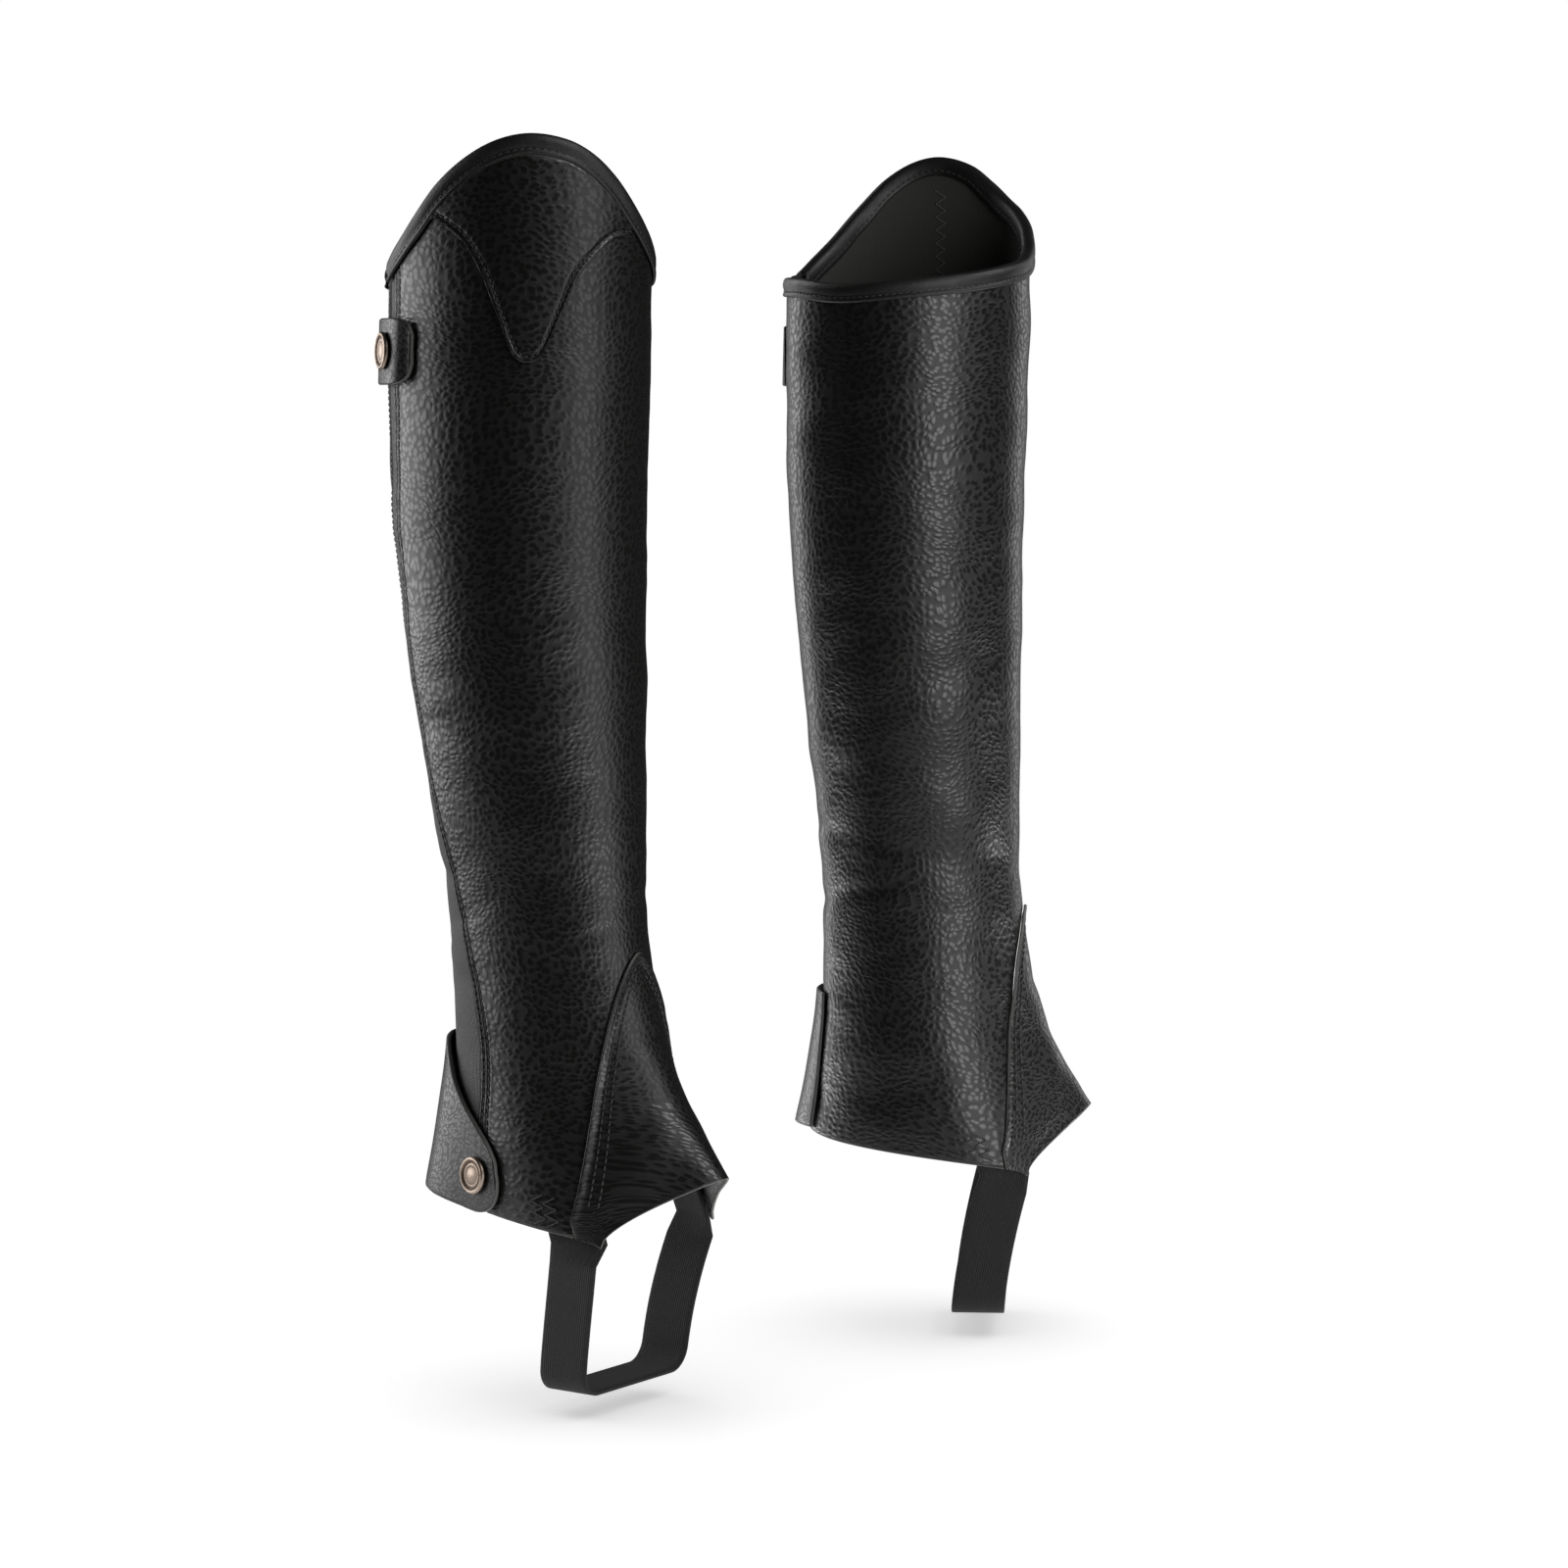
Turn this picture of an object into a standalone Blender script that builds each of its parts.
"""A pair of leather half chaps, filled out as on the leg, each a hollow shaft with its stirrup elastic.

Run it with: blender --background --python part.py

Each chap is described in its own leg's terms: an angle round the leg in degrees (0 at the front,
90 on the outer side, 180 at the back, -90 on the inner side), a height above the floor, and a distance
out from the leather's outer face. The function place() turns those three into a point of the scene.
"""

import bisect
import math
from collections import namedtuple

import bmesh
import bpy
from mathutils import Matrix, Vector

MM = 0.001

# Heights are millimetres above the floor the wearer stands on. The origin is at the right calf.
ORIGIN_HEIGHT = 400.0

# The leather's outer face: level cuts through one chap, as ellipses. Low down the front half is drawn in
# to a ridge over the instep: "point" is the share of the width that it loses there.
Section = namedtuple("Section", "height centre half_length half_width point")
SECTIONS = [
    Section(75, 29.0, 78.0, 50.0, 0.62),
    Section(95, 24.5, 71.5, 48.5, 0.6),
    Section(114, 19.7, 63.8, 46.5, 0.5),
    Section(133, 15.2, 57.3, 44.0, 0.36),
    Section(152, 12.0, 52.5, 41.5, 0.22),
    Section(180, 8.8, 49.0, 39.0, 0.08),
    Section(218, 6.4, 47.4, 38.0, 0.0),
    Section(256, 4.7, 49.0, 41.5, 0.0),
    Section(294, 2.6, 51.2, 46.0, 0.0),
    Section(333, 1.0, 53.4, 50.0, 0.0),
    Section(371, -0.5, 55.2, 53.0, 0.0),
    Section(409, -1.0, 56.6, 55.5, 0.0),
    Section(447, -0.5, 57.5, 57.0, 0.0),
    Section(500, 0.0, 58.0, 58.0, 0.0),
    Section(560, 0.0, 58.5, 58.5, 0.0),
]

# The height of the top edge as each leg wears it: low on the inner side, with one tall wave on the outer
# side. The left chap's front is pushed up a little more than the right one's.
Rim = namedtuple("Rim", "angle right left")
RIM = [
    Rim(-190, 501.5, 502.0),
    Rim(-150, 500.0, 500.5),
    Rim(-120, 498.0, 497.5),
    Rim(-90, 498.5, 499.5),
    Rim(-60, 499.5, 502.5),
    Rim(-35, 501.0, 506.5),
    Rim(-15, 504.0, 510.5),
    Rim(0, 511.0, 517.0),
    Rim(12, 518.5, 526.0),
    Rim(24, 528.5, 534.0),
    Rim(36, 540.0, 540.5),
    Rim(48, 549.0, 549.0),
    Rim(60, 554.5, 557.0),
    Rim(76, 557.0, 561.5),
    Rim(90, 554.5, 559.0),
    Rim(104, 547.5, 550.5),
    Rim(118, 536.5, 536.5),
    Rim(132, 522.5, 522.5),
    Rim(145, 512.0, 512.5),
    Rim(158, 504.5, 505.0),
    Rim(172, 501.5, 502.0),
]
PEAK_ANGLE = 76.0

# How each leg stands: its lean towards the toe, how far the toe is turned towards the viewer, and how far
# the ridge over the instep is pushed forward.
Pose = namedtuple("Pose", "height lean turn nose")
Leg = namedtuple("Leg", "name outer_side x y poses")
RIGHT = Leg(
    "right",
    -1,
    0.0,
    0.0,
    [
        Pose(77, 12.0, 35, 14.0),
        Pose(145, 9.4, 35, 3.2),
        Pose(205, 6.4, 35, 0.0),
        Pose(274, 3.4, 29, 0.0),
        Pose(340, 1.2, 19, 0.0),
        Pose(447, 0.0, 8, 0.0),
        Pose(560, 0.0, 5.5, 0.0),
    ],
)
LEFT = Leg("left", 1, 175.0, 153.0, [Pose(77, 0.0, 4, 0.0), Pose(560, 0.0, 4, 0.0)])

# The lower edge: raised over the instep, lowest at a tip on each side, rising again to the back.
HEM_TIP = 79.0
HEM_FRONT_RISE = 28.0
HEM_FRONT_CURVE = 0.65
HEM_BACK_RISE = 17.0
HEM_BACK_CURVE = 0.55
TIP_ANGLE = 66.5

# The seam of the instep gusset, from its top point down to the hem behind the tip.
GUSSET_TOP = 201.0
GUSSET_DEPTH = 117.0
GUSSET_ANGLE = 75.4
GUSSET_CURVE = 1.6
GUSSET_SIDE = 73.5
SHAFT_CORNER = 74.2

# The back: the leather ends on the outer side, then the stretch panel, then the zip.
BackEdge = namedtuple("BackEdge", "height angle")
OUTER_BACK_EDGE = [
    BackEdge(79, 118),
    BackEdge(120, 112),
    BackEdge(150, 107),
    BackEdge(172, 107),
    BackEdge(195, 112.5),
    BackEdge(244, 127),
    BackEdge(279, 138),
    BackEdge(320, 144),
    BackEdge(370, 147.5),
    BackEdge(447, 150),
    BackEdge(560, 151),
]
OUTER_BACK_TOP = 151.0
STRETCH_FROM = 90.0
ZIP_FROM = 158.5
ZIP_TO = 170.0
INNER_BACK = -189.6

# Thicknesses and clearances.
LEATHER = 1.8
STRETCH = 1.5
TAPE = 1.2
LINING = 1.0
OVERLAY = 1.3
DOUBLE_LEATHER = 2.4
SEAM = 0.3
SEAM_DEGREES = 0.4
LAID_ON = 0.4
STANDS_PROUD = 0.5

BINDING_WIDTH = 8.5
BINDING = 1.2
LINING_FLOOR = 430.0
LINING_INSET = 1.0

# The V-shaped yoke: the height of its lower edge, this many degrees behind the peak.
YokeEdge = namedtuple("YokeEdge", "behind height")
YOKE_EDGE = [
    YokeEdge(-50, 513.6),
    YokeEdge(-39, 513.0),
    YokeEdge(-29, 506.0),
    YokeEdge(-20, 495.0),
    YokeEdge(-13, 478.0),
    YokeEdge(-6.5, 463.0),
    YokeEdge(0, 459.5),
    YokeEdge(6.5, 463.0),
    YokeEdge(13, 478.0),
    YokeEdge(20, 496.0),
    YokeEdge(28, 510.0),
    YokeEdge(36, 517.0),
    YokeEdge(45, 522.5),
]

# The tab over the top of the zip, and the strap over its lower end.
# Each row gives the edges' heights there, how far each edge stands off the leather, and how thick it is:
# two layers of leather at the free end, pared thin where it is sewn down.
TabRow = namedtuple("TabRow", "angle low high low_off high_off thick")
TOP_TAB = [
    TabRow(130.5, 459.0, 471.0, 0.6, 0.6, DOUBLE_LEATHER),
    TabRow(132.0, 454.3, 475.2, 0.9, 0.8, DOUBLE_LEATHER),
    TabRow(134.0, 451.8, 477.4, 2.1, 1.7, DOUBLE_LEATHER),
    TabRow(136.5, 450.6, 478.4, 3.6, 2.9, DOUBLE_LEATHER),
    TabRow(139.5, 450.2, 478.8, 4.3, 3.4, DOUBLE_LEATHER),
    TabRow(143.0, 450.0, 479.0, 4.0, 3.0, DOUBLE_LEATHER),
    TabRow(148.0, 450.0, 479.0, 3.4, 2.5, DOUBLE_LEATHER),
    TabRow(153.0, 450.0, 479.0, 3.1, 2.3, DOUBLE_LEATHER),
    TabRow(158.0, 450.0, 479.0, 3.0, 2.3, 2.2),
    TabRow(163.0, 450.1, 478.9, 3.0, 2.3, 1.8),
    TabRow(168.0, 450.2, 478.8, 2.9, 2.3, 1.4),
    TabRow(172.0, 450.4, 478.6, 1.2, 1.0, 1.1),
    TabRow(176.0, 450.6, 478.4, 0.4, 0.4, 0.8),
    TabRow(181.0, 450.8, 478.2, 0.4, 0.4, 0.7),
]
ANKLE_STRAP = [
    TabRow(100.0, 104.0, 111.5, 0.7, 0.7, DOUBLE_LEATHER),
    TabRow(101.0, 98.5, 115.0, 0.7, 0.7, DOUBLE_LEATHER),
    TabRow(103.5, 93.5, 119.8, 0.7, 0.7, DOUBLE_LEATHER),
    TabRow(107.0, 90.6, 124.0, 0.7, 0.7, DOUBLE_LEATHER),
    TabRow(111.3, 89.4, 128.5, 0.8, 0.8, DOUBLE_LEATHER),
    TabRow(116.3, 89.6, 132.8, 1.0, 0.9, DOUBLE_LEATHER),
    TabRow(122.0, 90.6, 138.0, 2.0, 1.1, DOUBLE_LEATHER),
    TabRow(130.0, 91.8, 145.0, 4.3, 1.3, DOUBLE_LEATHER),
    TabRow(139.0, 93.0, 154.5, 6.8, 1.5, DOUBLE_LEATHER),
    TabRow(149.0, 94.2, 160.0, 8.3, 1.6, DOUBLE_LEATHER),
    TabRow(160.0, 95.2, 162.0, 8.0, 1.6, DOUBLE_LEATHER),
    TabRow(172.0, 96.0, 162.0, 6.2, 1.4, DOUBLE_LEATHER),
    TabRow(184.0, 96.4, 161.5, 3.2, 0.9, 2.0),
    TabRow(197.0, 96.6, 161.0, 0.7, 0.7, 1.2),
]

# Snap caps, and where each sits on its tab.
SNAP_ACROSS = 16.5
SNAP_HIGH = 2.2
SNAP_GAP = 0.45
SNAP_SIDES = 24
SNAP_REACH = 6.0
TOP_SNAP_ANGLE = 148.0
TOP_SNAP_HEIGHT = 464.8
ANKLE_SNAP_ANGLE = 111.5
ANKLE_SNAP_HEIGHT = 105.5

# The zip's slider, under the top tab.
SLIDER_LOW = 456.0
SLIDER_HIGH = 472.0
SLIDER_FROM = 160.3
SLIDER_TO = 168.0
SLIDER_THICK = 1.9

# The stirrup elastic: up inside each tip of the hem, down beside the foot and across below it.
STIRRUP_WIDE = 25.0
STIRRUP_THICK = 1.8
STIRRUP_ANGLE = 74.0
STIRRUP_INSIDE_TOP = 96.0
STIRRUP_LEAVES = 80.0
STIRRUP_BOTTOM = 11.0
STIRRUP_FORWARD = 35.0
STIRRUP_SLANT = 13.0
STIRRUP_CURVE = 1.5
STIRRUP_CORNER = 11.0
SideRow = namedtuple("SideRow", "height outward")
STIRRUP_SIDE = [
    SideRow(71, 43.6),
    SideRow(57, 41.2),
    SideRow(40, 39.2),
    SideRow(22, 38.0),
]

# How finely the solids are divided: rows up the leg and columns round it.
SHAFT_ROWS = 15
ROW_BUNCHING = 1.25
INNER_COLUMNS = 14
FRONT_COLUMNS = 18
OUTER_COLUMNS = 10
PANEL_COLUMNS = 5
ZIP_COLUMNS = 2
TOP_COLUMNS = 44
YOKE_COLUMNS = 10
YOKE_ROWS = 5
GUSSET_ROWS = 7
TAB_ROWS = 4
STIRRUP_COLUMNS = 3
CORNER_STEPS = 4

# A grid point's height depends on its angle and the reverse: both settle in a few rounds.
SETTLE_FROM = 300.0
SETTLE_ROUNDS = 8

Paint = namedtuple("Paint", "name colour roughness metallic")
GRAIN = Paint("grained leather", (0.016, 0.016, 0.016, 1), 0.45, 0)
SMOOTH = Paint("smooth leather", (0.013, 0.013, 0.013, 1), 0.4, 0)
ELASTIC = Paint("black elastic", (0.010, 0.010, 0.010, 1), 0.85, 0)
TAPES = Paint("zip tape and teeth", (0.012, 0.012, 0.012, 1), 0.7, 0)
FABRIC = Paint("matt lining", (0.022, 0.022, 0.021, 1), 0.9, 0)
BRASS = Paint("antique brass", (0.40, 0.30, 0.22, 1), 0.35, 1)


def column(rows, name):
    return [getattr(row, name) for row in rows]


def smooth(xs, ys, x):
    """The value at x of a smooth curve through the points (xs, ys), held level past both ends."""
    last = len(xs) - 1
    x = min(max(x, xs[0]), xs[last])
    i = min(bisect.bisect_right(xs, x), last) - 1

    def slope(k):
        before = max(k - 1, 0)
        after = min(k + 1, last)
        return (ys[after] - ys[before]) / (xs[after] - xs[before])

    span = xs[i + 1] - xs[i]
    t = (x - xs[i]) / span
    rise = ys[i + 1] - ys[i]
    start = slope(i) * span
    end = slope(i + 1) * span
    return ys[i] + t * start + t * t * (3 * rise - 2 * start - end) + t**3 * (start + end - 2 * rise)


def read(rows, key, name, at):
    return smooth(column(rows, key), column(rows, name), at)


def turned_to(angle, reference):
    """The same direction as angle, written within half a turn of the reference."""
    return (angle - reference + 180) % 360 - 180


def rim(leg, angle):
    """Height of the top edge."""
    return read(RIM, "angle", leg.name, angle)


def rim_stretch(leg, angle):
    """How much taller than wide a band along the sloping top edge is."""
    rise = (rim(leg, angle + 1) - rim(leg, angle - 1)) / 2
    step = math.radians(1) * SECTIONS[-1].half_length
    return math.hypot(1, rise / step)


def hem(angle):
    """Height of the lower edge of the whole chap."""
    off = abs(turned_to(angle, 0))
    if off < TIP_ANGLE:
        return HEM_TIP + HEM_FRONT_RISE * math.cos(math.pi / 2 * off / TIP_ANGLE) ** HEM_FRONT_CURVE
    return HEM_TIP + HEM_BACK_RISE * ((off - TIP_ANGLE) / (180 - TIP_ANGLE)) ** HEM_BACK_CURVE


def gusset_seam(angle):
    return GUSSET_TOP - GUSSET_DEPTH * (abs(angle) / GUSSET_ANGLE) ** GUSSET_CURVE


def shaft_low(angle):
    """Height of the leather's lower edge: the gusset's seam in front, and the hem behind it."""
    if abs(angle) < SHAFT_CORNER:
        return gusset_seam(angle) + 2 * SEAM
    return hem(angle)


def outer_back(height):
    return read(OUTER_BACK_EDGE, "height", "angle", height)


def place(leg, angle, height, out=0.0):
    """The point of the scene at this angle, height and distance out, in metres."""
    centre = read(SECTIONS, "height", "centre", height)
    half_length = read(SECTIONS, "height", "half_length", height)
    half_width = read(SECTIONS, "height", "half_width", height)
    point = read(SECTIONS, "height", "point", height)
    nose = read(leg.poses, "height", "nose", height)
    cos = math.cos(math.radians(angle))
    sin = math.sin(math.radians(angle))
    front = max(cos, 0.0)
    drawn_in = 1 - point * front**2
    # The normal is the section's own tangent, turned by a right angle.
    tangent_forward = -(half_length + 3 * nose * front**2) * sin
    tangent_outward = half_width * (cos * drawn_in + 2 * point * front * sin**2)
    normal = Vector((tangent_outward, -tangent_forward)).normalized()
    forward = centre + half_length * cos + nose * front**3 + out * normal.x
    outward = half_width * sin * drawn_in + out * normal.y
    return stand(leg, forward, outward, height)


def stand(leg, forward, outward, height):
    """The point this far forward and outward of the leg's own axis, in metres."""
    lean = read(leg.poses, "height", "lean", height)
    turn = math.radians(read(leg.poses, "height", "turn", height))
    x = forward * math.cos(turn) + leg.outer_side * outward * math.sin(turn)
    y = leg.outer_side * outward * math.cos(turn) - forward * math.sin(turn)
    return Vector((leg.x + lean + x, leg.y + y, height - ORIGIN_HEIGHT)) * MM


def material(paint):
    made = bpy.data.materials.get(paint.name)
    if made:
        return made
    made = bpy.data.materials.new(paint.name)
    made.use_nodes = True
    shader = made.node_tree.nodes["Principled BSDF"]
    shader.inputs["Base Color"].default_value = paint.colour
    shader.inputs["Roughness"].default_value = paint.roughness
    shader.inputs["Metallic"].default_value = paint.metallic
    return made


def finish(leg, name, mesh_maker, paint):
    """Makes one named object from a bmesh, with its faces pointing out and its own material."""
    bmesh.ops.recalc_face_normals(mesh_maker, faces=mesh_maker.faces)
    mesh = bpy.data.meshes.new(f"{leg.name}_{name}")
    mesh_maker.to_mesh(mesh)
    mesh_maker.free()
    mesh.shade_smooth()
    mesh.set_sharp_from_angle(angle=math.radians(50))
    mesh.materials.append(material(paint))
    made = bpy.data.objects.new(f"{leg.name}_{name}", mesh)
    bpy.context.scene.collection.objects.link(made)
    return made


def closed_wall(leg, name, outer, inner, paint):
    """A wall between two grids of points of the same size, closed round its edges."""
    maker = bmesh.new()
    outside = [[maker.verts.new(point) for point in row] for row in outer]
    inside = [[maker.verts.new(point) for point in row] for row in inner]
    rows = len(outer)
    columns = len(outer[0])
    for grid in (outside, inside):
        for i in range(rows - 1):
            for j in range(columns - 1):
                maker.faces.new((grid[i][j], grid[i][j + 1], grid[i + 1][j + 1], grid[i + 1][j]))
    border = [(0, j) for j in range(columns)]
    border += [(i, columns - 1) for i in range(1, rows)]
    border += [(rows - 1, j) for j in reversed(range(columns - 1))]
    border += [(i, 0) for i in reversed(range(1, rows - 1))]
    for (i, j), (m, n) in zip(border, border[1:] + border[:1]):
        maker.faces.new((outside[i][j], outside[m][n], inside[m][n], inside[i][j]))
    return finish(leg, name, maker, paint)


def spread(start, end, steps):
    return [start + (end - start) * i / steps for i in range(steps + 1)]


def settle(angle_at, low, high, up):
    """The (angle, height) of a grid point this share of the way up from its low to its high edge."""
    height = SETTLE_FROM
    for _ in range(SETTLE_ROUNDS):
        angle = angle_at(height)
        height = low(angle) + (high(angle) - low(angle)) * up
    return angle, height


def wall_of(leg, name, spots, face, back, paint):
    """A wall through a grid of (angle, height) spots, from `back` to `face` out of the leather's face."""
    outer = [[place(leg, angle, height, face) for angle, height in row] for row in spots]
    inner = [[place(leg, angle, height, back) for angle, height in row] for row in spots]
    return closed_wall(leg, name, outer, inner, paint)


def row_places():
    """How far up each row lies, with more rows low down, where the ankle curves most."""
    return [(i / SHAFT_ROWS) ** ROW_BUNCHING for i in range(SHAFT_ROWS + 1)]


def shaft_angle(nominal):
    """A column's angle at each height: past the outer side it follows the leather's back edge."""

    def at(height):
        if nominal <= STRETCH_FROM:
            return nominal
        share = (nominal - STRETCH_FROM) / (OUTER_BACK_TOP - STRETCH_FROM)
        return STRETCH_FROM + share * (outer_back(height) - STRETCH_FROM)

    return at


def under_binding(leg):
    return lambda angle: rim(leg, angle) - (BINDING + SEAM)


def make_shaft(leg):
    nominals = spread(INNER_BACK, -SHAFT_CORNER, INNER_COLUMNS)
    nominals += spread(-GUSSET_SIDE, GUSSET_SIDE, FRONT_COLUMNS)
    nominals += spread(SHAFT_CORNER, OUTER_BACK_TOP, OUTER_COLUMNS)
    spots = [
        [settle(shaft_angle(nominal), shaft_low, under_binding(leg), up) for nominal in nominals]
        for up in row_places()
    ]
    return wall_of(leg, "shaft", spots, 0.0, -LEATHER, GRAIN)


def make_elastic_panel(leg):
    def angle_for(share):
        def at(height):
            start = outer_back(height) + SEAM_DEGREES
            return start + share * (ZIP_FROM - SEAM_DEGREES - start)

        return at

    spots = [
        [settle(angle_for(share), hem, under_binding(leg), up) for share in spread(0, 1, PANEL_COLUMNS)]
        for up in row_places()
    ]
    return wall_of(leg, "elastic_panel", spots, -SEAM, -SEAM - STRETCH, ELASTIC)


def make_zip(leg):
    angles = spread(ZIP_FROM, ZIP_TO, ZIP_COLUMNS)
    spots = [
        [(angle, hem(angle) + up * (rim(leg, angle) - hem(angle))) for angle in angles]
        for up in row_places()
    ]
    return wall_of(leg, "zip", spots, -SEAM, -SEAM - TAPE, TAPES)


def make_zip_slider(leg):
    angles = spread(SLIDER_FROM, SLIDER_TO, ZIP_COLUMNS)
    spots = [[(angle, height) for angle in angles] for height in (SLIDER_LOW, SLIDER_HIGH)]
    return wall_of(leg, "zip_slider", spots, SLIDER_THICK + SEAM, SEAM, BRASS)


def make_lining(leg):
    angles = spread(INNER_BACK + LINING_INSET, OUTER_BACK_TOP - LINING_INSET, TOP_COLUMNS)
    top = under_binding(leg)
    spots = [
        [(angle, LINING_FLOOR + up * (top(angle) - LINING_FLOOR)) for angle in angles]
        for up in (0, 0.5, 1)
    ]
    face = -LEATHER - LAID_ON
    return wall_of(leg, "lining", spots, face, face - LINING, FABRIC)


def yoke_low(angle):
    return read(YOKE_EDGE, "behind", "height", angle - PEAK_ANGLE)


def yoke_high(leg, angle):
    return rim(leg, angle) - (BINDING_WIDTH + SEAM) * rim_stretch(leg, angle)


def make_yoke(leg):
    angles = spread(PEAK_ANGLE + YOKE_EDGE[0].behind, PEAK_ANGLE, YOKE_COLUMNS)
    angles += spread(PEAK_ANGLE, PEAK_ANGLE + YOKE_EDGE[-1].behind, YOKE_COLUMNS)[1:]
    spots = [
        [(angle, yoke_low(angle) + up * (yoke_high(leg, angle) - yoke_low(angle))) for angle in angles]
        for up in spread(0, 1, YOKE_ROWS)
    ]
    return wall_of(leg, "yoke", spots, LAID_ON + OVERLAY, LAID_ON, GRAIN)


def make_binding(leg):
    """One folded strip: an outer leg, the fold over the edge, and an inner leg behind the lining."""
    inner_face = -LEATHER - LAID_ON - LINING - SEAM
    angles = spread(INNER_BACK + SEAM_DEGREES, ZIP_FROM - SEAM_DEGREES, TOP_COLUMNS)
    maker = bmesh.new()
    rings = []
    for angle in angles:
        deep = BINDING_WIDTH * rim_stretch(leg, angle)
        profile = [
            (SEAM, -deep),
            (SEAM + BINDING, -deep),
            (SEAM + BINDING, -BINDING / 2),
            (SEAM, 0.0),
            (inner_face, 0.0),
            (inner_face - BINDING, -BINDING / 2),
            (inner_face - BINDING, -deep),
            (inner_face, -deep),
            (inner_face, -BINDING),
            (SEAM, -BINDING),
        ]
        rings.append([maker.verts.new(place(leg, angle, rim(leg, angle) + up, out)) for out, up in profile])
    for ring, after in zip(rings, rings[1:]):
        for k in range(len(ring)):
            following = (k + 1) % len(ring)
            maker.faces.new((ring[k], ring[following], after[following], after[k]))
    maker.faces.new(rings[0])
    maker.faces.new(rings[-1])
    return finish(leg, "binding", maker, SMOOTH)


def make_gusset(leg):
    angles = spread(-GUSSET_SIDE, GUSSET_SIDE, FRONT_COLUMNS)
    spots = [
        [(angle, hem(angle) + up * (gusset_seam(angle) - hem(angle))) for angle in angles]
        for up in spread(0, 1, GUSSET_ROWS)
    ]
    return wall_of(leg, "gusset", spots, STANDS_PROUD, STANDS_PROUD - LEATHER, GRAIN)


def make_tab(leg, name, rows):
    """A flat tab round the back of the leg, standing off it as its rows say."""
    grids = []
    for layers in (1, 0):
        grid = []
        for up in spread(0, 1, TAB_ROWS):
            line = []
            for row in rows:
                height = row.low + up * (row.high - row.low)
                off = row.low_off + up * (row.high_off - row.low_off)
                line.append(place(leg, row.angle, height, off + layers * row.thick))
            grid.append(line)
        grids.append(grid)
    return closed_wall(leg, name, grids[0], grids[1], GRAIN)


def tab_off(rows, angle, height):
    """How far a tab's underside stands off the leather at this spot."""
    low, high = (read(rows, "angle", name, angle) for name in ("low", "high"))
    low_off, high_off = (read(rows, "angle", name, angle) for name in ("low_off", "high_off"))
    return low_off + (high_off - low_off) * (height - low) / (high - low)


def facing(spot_at, angle, height):
    """A frame at a spot of a surface: its Z axis points out, square to what lies within a snap's reach."""
    reach = math.degrees(SNAP_ACROSS / 2 / SECTIONS[-1].half_length)
    start, end = (spot_at(angle + off, height, 0) for off in (-reach, reach))
    low, high = (spot_at(angle, height + off, 0) for off in (-SNAP_REACH, SNAP_REACH))
    normal = (end - start).cross(high - low).normalized()
    if normal.dot(spot_at(angle, height, 5) - spot_at(angle, height, 0)) < 0:
        normal = -normal
    side = (high - low).cross(normal).normalized()
    frame = Matrix((side, normal.cross(side), normal)).transposed().to_4x4()
    frame.translation = spot_at(angle, height, 0)
    return frame


def make_snap(leg, name, rows, angle, height):
    """A shallow domed cap with a rolled rim, square to the tab below it."""

    def spot_at(at, up, out):
        return place(leg, at, up, tab_off(rows, at, up) + DOUBLE_LEATHER + SNAP_GAP + out)

    frame = facing(spot_at, angle, height)
    radius = SNAP_ACROSS / 2
    profile = [
        (radius * 0.93, 0.0),
        (radius, SNAP_HIGH * 0.35),
        (radius * 0.93, SNAP_HIGH * 0.72),
        (radius * 0.8, SNAP_HIGH * 0.62),
        (radius * 0.4, SNAP_HIGH * 0.92),
    ]
    maker = bmesh.new()
    rings = []
    for reach, up in profile:
        turns = [2 * math.pi * i / SNAP_SIDES for i in range(SNAP_SIDES)]
        points = [frame @ (Vector((reach * math.cos(t), reach * math.sin(t), up)) * MM) for t in turns]
        rings.append([maker.verts.new(point) for point in points])
    for ring, after in zip(rings, rings[1:]):
        for k in range(SNAP_SIDES):
            following = (k + 1) % SNAP_SIDES
            maker.faces.new((ring[k], ring[following], after[following], after[k]))
    maker.faces.new(rings[0])
    maker.faces.new(rings[-1])
    return finish(leg, name, maker, BRASS)


def stirrup_inside(leg, side, height, depth):
    """The elastic's points across its width where it lies inside one tip of the hem."""
    reach = math.degrees(STIRRUP_WIDE / 2 / read(SECTIONS, "height", "half_length", height))
    angles = spread(STIRRUP_ANGLE - reach, STIRRUP_ANGLE + reach, STIRRUP_COLUMNS)
    return [place(leg, side * angle, height, -LEATHER - LAID_ON - depth) for angle in angles]


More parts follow.
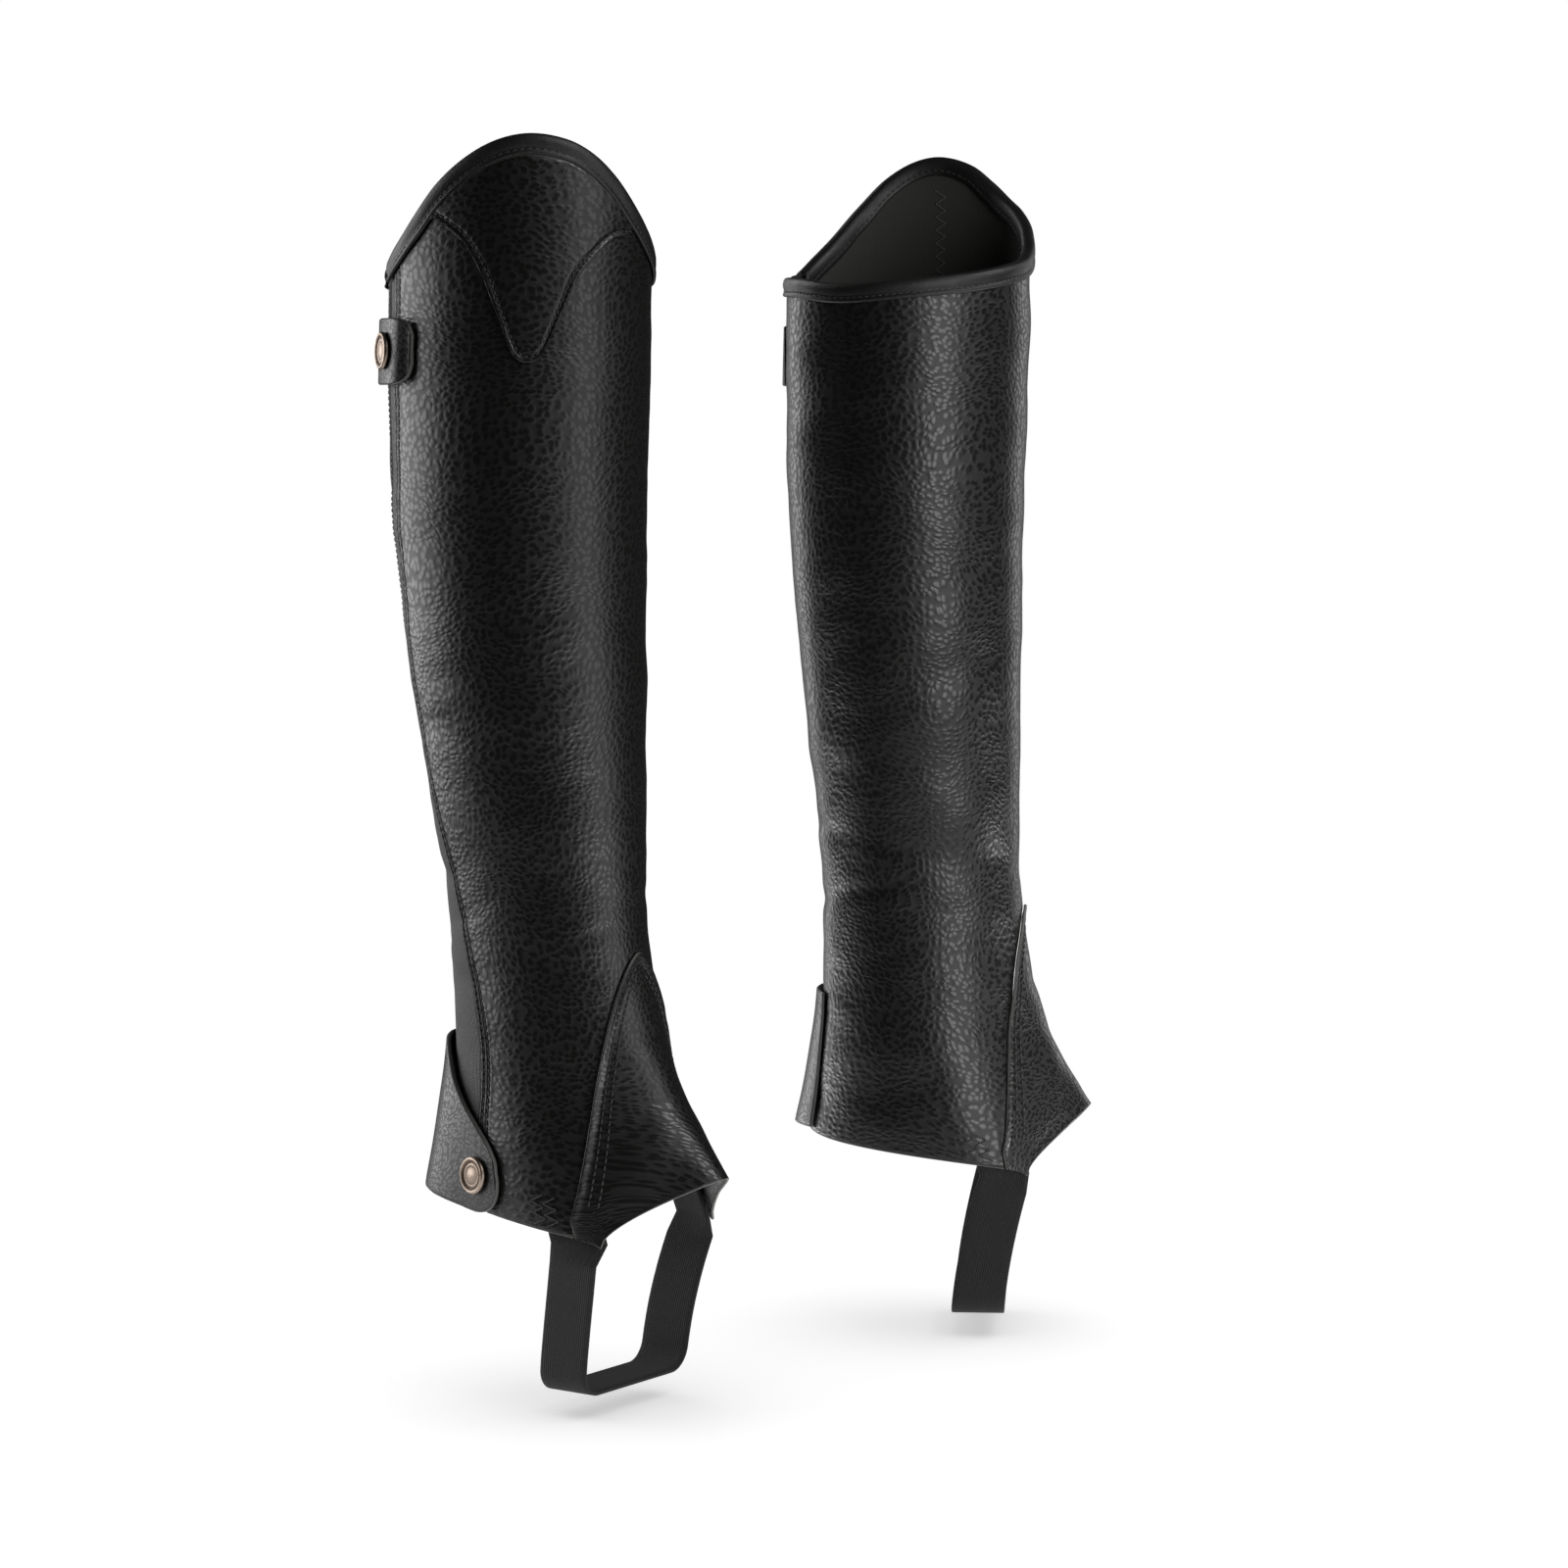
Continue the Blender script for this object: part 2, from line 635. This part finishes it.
def stirrup_below(leg, side, outward, height, lean, depth):
    """The same points below the hem, where its face leans by this many degrees towards the floor."""
    share = max(height - STIRRUP_BOTTOM, 0) / (STIRRUP_LEAVES - STIRRUP_BOTTOM)
    middle = STIRRUP_FORWARD + STIRRUP_SLANT * share**STIRRUP_CURVE
    turn = math.radians(lean)
    outward -= depth * math.cos(turn)
    height += depth * math.sin(turn)
    forwards = spread(middle + STIRRUP_WIDE / 2, middle - STIRRUP_WIDE / 2, STIRRUP_COLUMNS)
    return [stand(leg, forward, side * outward, height) for forward in forwards]


def stirrup_rows(leg, side, depth):
    rows = [
        stirrup_inside(leg, side, height, depth)
        for height in spread(STIRRUP_INSIDE_TOP, STIRRUP_LEAVES, 2)
    ]
    for row in STIRRUP_SIDE[:-1]:
        rows.append(stirrup_below(leg, side, row.outward, row.height, 0, depth))
    for lean in spread(0, 90, CORNER_STEPS):
        turn = math.radians(lean)
        outward = STIRRUP_SIDE[-1].outward - STIRRUP_CORNER * (1 - math.cos(turn))
        height = STIRRUP_BOTTOM + STIRRUP_CORNER * (1 - math.sin(turn))
        rows.append(stirrup_below(leg, side, outward, height, lean, depth))
    rows.append(stirrup_below(leg, side, STIRRUP_SIDE[-1].outward / 3, STIRRUP_BOTTOM, 90, depth))
    return rows


def make_stirrup(leg):
    grids = []
    for depth in (0.0, STIRRUP_THICK):
        outer_side = stirrup_rows(leg, 1, depth)
        inner_side = stirrup_rows(leg, -1, depth)
        grids.append(outer_side + inner_side[::-1])
    return closed_wall(leg, "stirrup", grids[0], grids[1], ELASTIC)


def make_chap(leg):
    make_shaft(leg)
    make_elastic_panel(leg)
    make_zip(leg)
    make_zip_slider(leg)
    make_lining(leg)
    make_yoke(leg)
    make_binding(leg)
    make_gusset(leg)
    make_tab(leg, "top_tab", TOP_TAB)
    make_snap(leg, "top_snap", TOP_TAB, TOP_SNAP_ANGLE, TOP_SNAP_HEIGHT)
    make_tab(leg, "ankle_strap", ANKLE_STRAP)
    make_snap(leg, "ankle_snap", ANKLE_STRAP, ANKLE_SNAP_ANGLE, ANKLE_SNAP_HEIGHT)
    make_stirrup(leg)


def main():
    for old in list(bpy.data.objects):
        bpy.data.objects.remove(old, do_unlink=True)
    for leg in (RIGHT, LEFT):
        make_chap(leg)


main()
